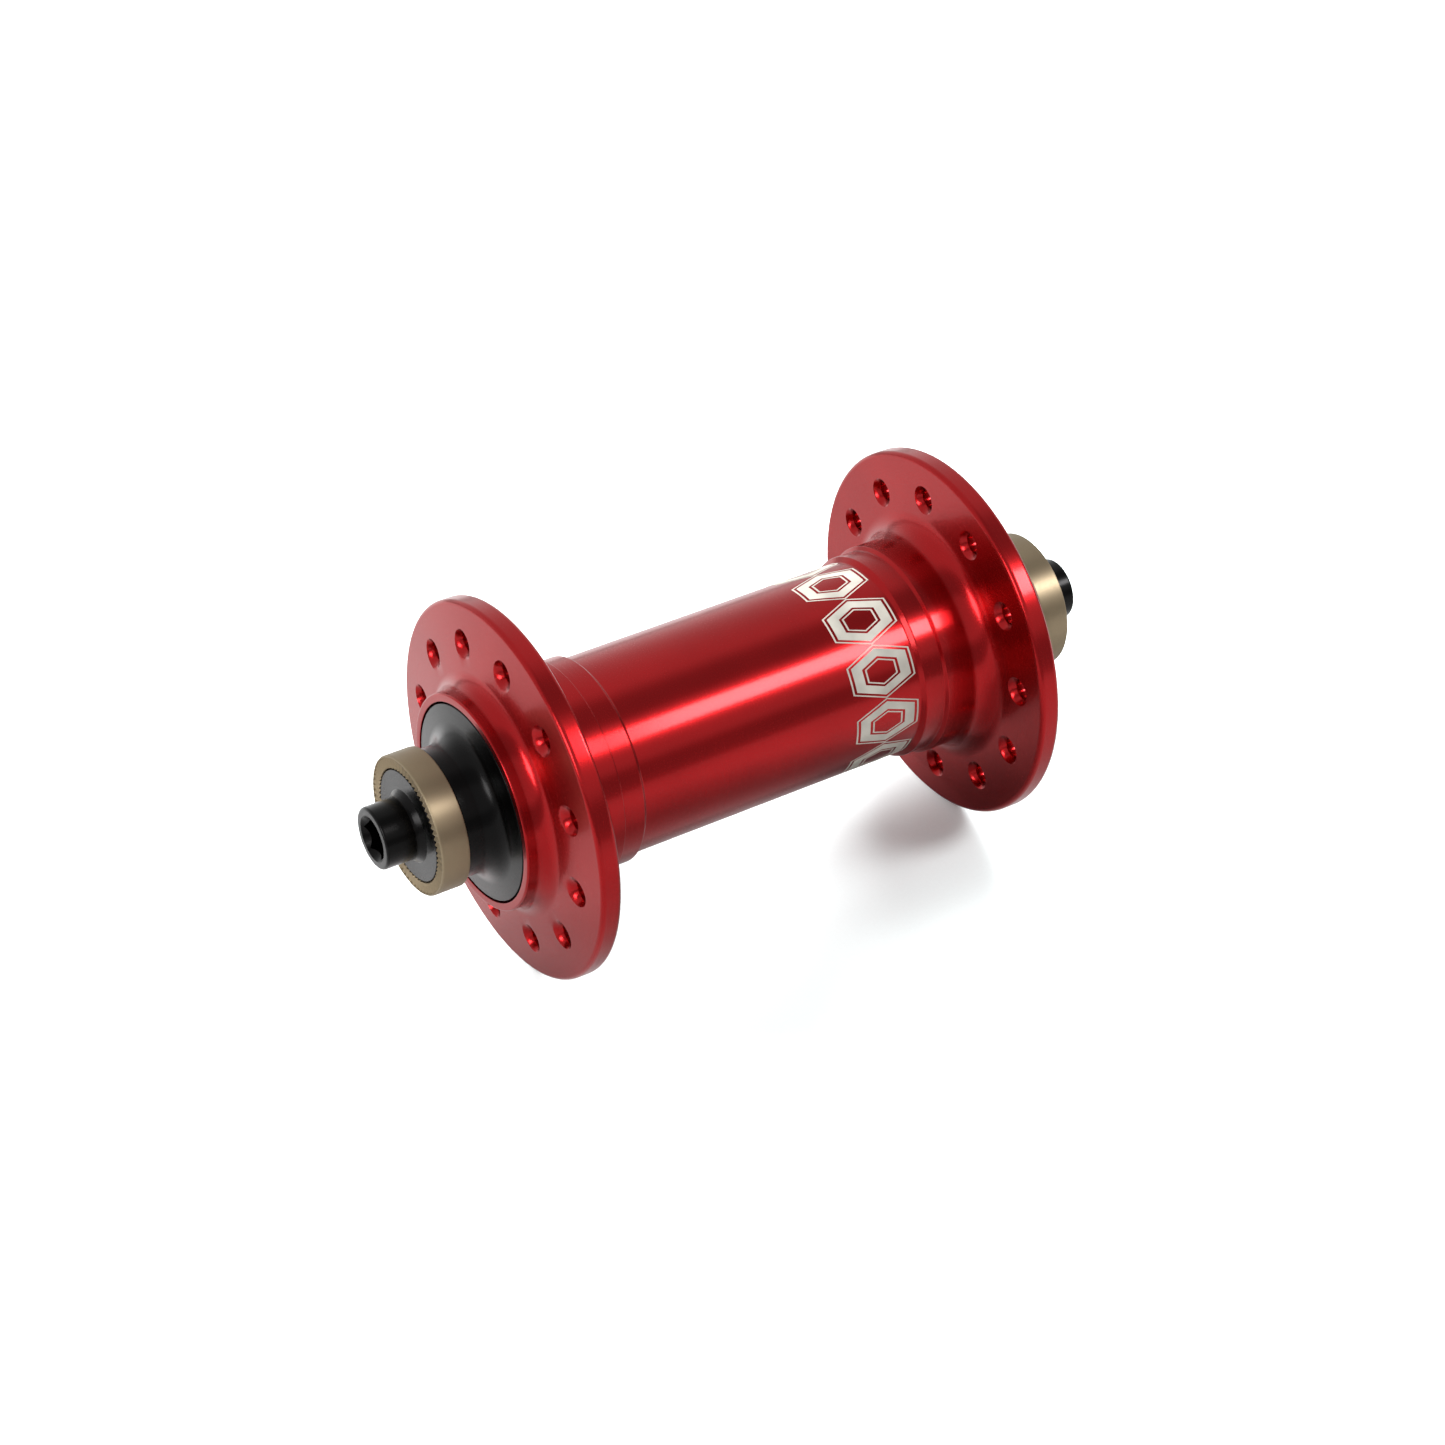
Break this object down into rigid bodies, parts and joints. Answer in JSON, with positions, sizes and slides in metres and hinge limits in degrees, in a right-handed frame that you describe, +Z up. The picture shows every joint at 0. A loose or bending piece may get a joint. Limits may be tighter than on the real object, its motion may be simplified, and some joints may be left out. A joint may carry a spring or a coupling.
{
  "type": "bicycle front hub",
  "caption": "Quick-release bicycle front hub: a barrel with two drilled spoke flanges turns on sealed bearings around a hollow axle with toothed grip rings and hexagon-socket ends.",
  "frame": {"origin": "centre of the hub, on the wheel's axis midway between the dropout faces", "axes": "+Y along the axle towards the end marked right, +Z up with the hub lying on its flange rims, +X square to both"},
  "size_m": [0.0532, 0.1104, 0.0532],
  "materials": {
    "red_anodised": "satin red anodised, turned",
    "black_anodised": "semi-gloss black anodised",
    "titanium_grey": "satin champagne grey, turned",
    "bare_alloy": "machined",
    "bearing_steel": "ground and polished",
    "black_rubber": "matt",
    "cage_polymer": "moulded"
  },
  "bodies": {
    "fixed_axle": {"axle": "bare_alloy", "left_end_cap": "black_anodised", "left_cap_o_ring": "black_rubber", "left_grip_ring": "titanium_grey", "left_end_bolt": "black_anodised", "left_inner_race": "bearing_steel", "right_end_cap": "black_anodised", "right_cap_o_ring": "black_rubber", "right_grip_ring": "titanium_grey", "right_end_bolt": "black_anodised", "right_inner_race": "bearing_steel"},
    "wheel_side": {"hub_shell": "red_anodised", "left_outer_race": "bearing_steel", "left_outer_bearing_seal": "black_rubber", "left_inner_bearing_seal": "black_rubber", "right_outer_race": "bearing_steel", "right_outer_bearing_seal": "black_rubber", "right_inner_bearing_seal": "black_rubber"},
    "left_ball_set": {"left_ball_cage": "cage_polymer", "left_ball_01": "bearing_steel", "left_ball_02": "bearing_steel", "left_ball_03": "bearing_steel", "left_ball_04": "bearing_steel", "left_ball_05": "bearing_steel", "left_ball_06": "bearing_steel", "left_ball_07": "bearing_steel", "left_ball_08": "bearing_steel", "left_ball_09": "bearing_steel", "left_ball_10": "bearing_steel", "left_ball_11": "bearing_steel"},
    "right_ball_set": {"right_ball_cage": "cage_polymer", "right_ball_01": "bearing_steel", "right_ball_02": "bearing_steel", "right_ball_03": "bearing_steel", "right_ball_04": "bearing_steel", "right_ball_05": "bearing_steel", "right_ball_06": "bearing_steel", "right_ball_07": "bearing_steel", "right_ball_08": "bearing_steel", "right_ball_09": "bearing_steel", "right_ball_10": "bearing_steel", "right_ball_11": "bearing_steel"}
  },
  "joints": [
    {"name": "wheel_spin", "type": "hinge", "parent": "fixed_axle", "child": "wheel_side", "pos_m": [0, 0, 0], "axis": [0, 1, 0], "continuous": true},
    {"name": "left_cage_spin", "type": "hinge", "parent": "fixed_axle", "child": "left_ball_set", "pos_m": [0, 0, 0], "axis": [0, 1, 0], "continuous": true},
    {"name": "right_cage_spin", "type": "hinge", "parent": "fixed_axle", "child": "right_ball_set", "pos_m": [0, 0, 0], "axis": [0, 1, 0], "continuous": true}
  ],
  "couplings": [
    {"joint": "left_cage_spin", "follows": "wheel_spin", "ratio": 0.5711},
    {"joint": "right_cage_spin", "follows": "wheel_spin", "ratio": 0.5711}
  ]
}
